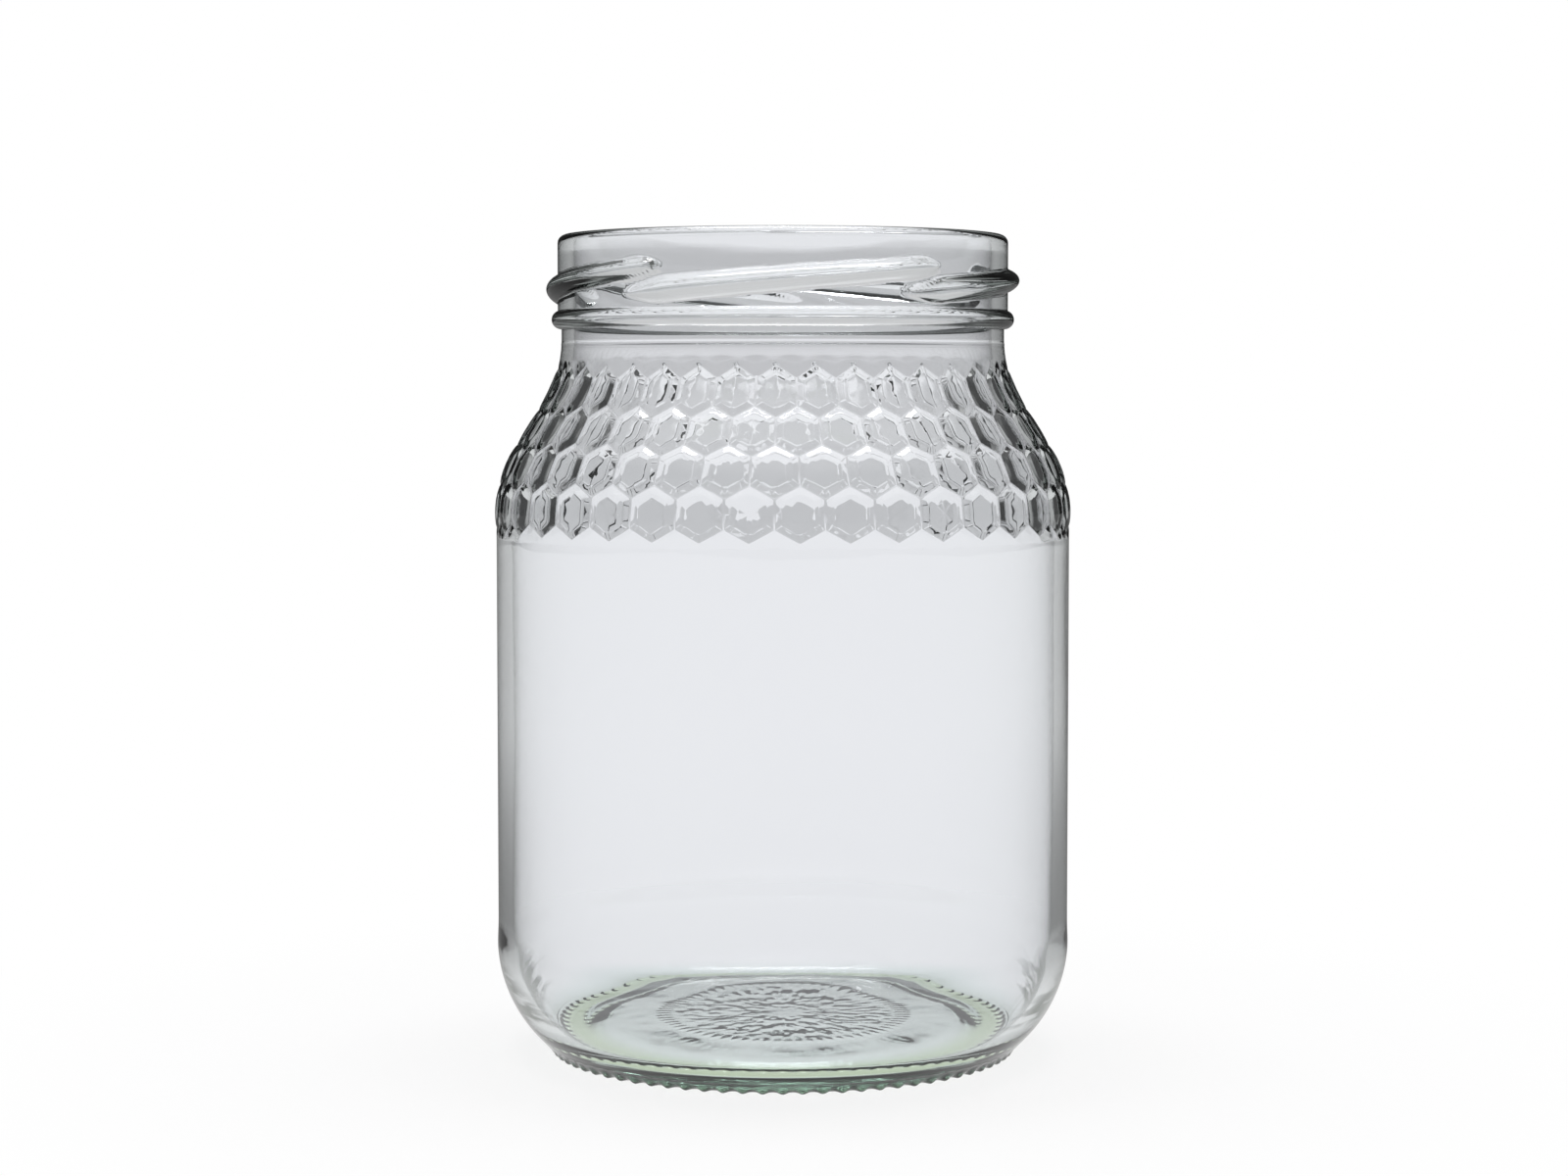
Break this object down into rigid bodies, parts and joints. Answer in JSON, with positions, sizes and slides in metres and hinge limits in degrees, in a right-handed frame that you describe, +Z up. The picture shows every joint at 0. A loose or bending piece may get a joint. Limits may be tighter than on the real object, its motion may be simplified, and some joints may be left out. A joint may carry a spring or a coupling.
{
  "type": "honey jar",
  "caption": "Empty open glass jar with a wide twist-off mouth, a raised honeycomb pattern round the sloping shoulder, a recessed label panel and a domed base on a knurled ring.",
  "frame": {"origin": "centre of the base, at the level the jar stands on", "axes": "+Z up along the jar's axis, -Y towards the front"},
  "size_m": [0.0936, 0.0936, 0.1325],
  "materials": {
    "jar_glass": "clear, fire-polished"
  },
  "bodies": {
    "root": {"jar": "jar_glass"}
  },
  "joints": []
}
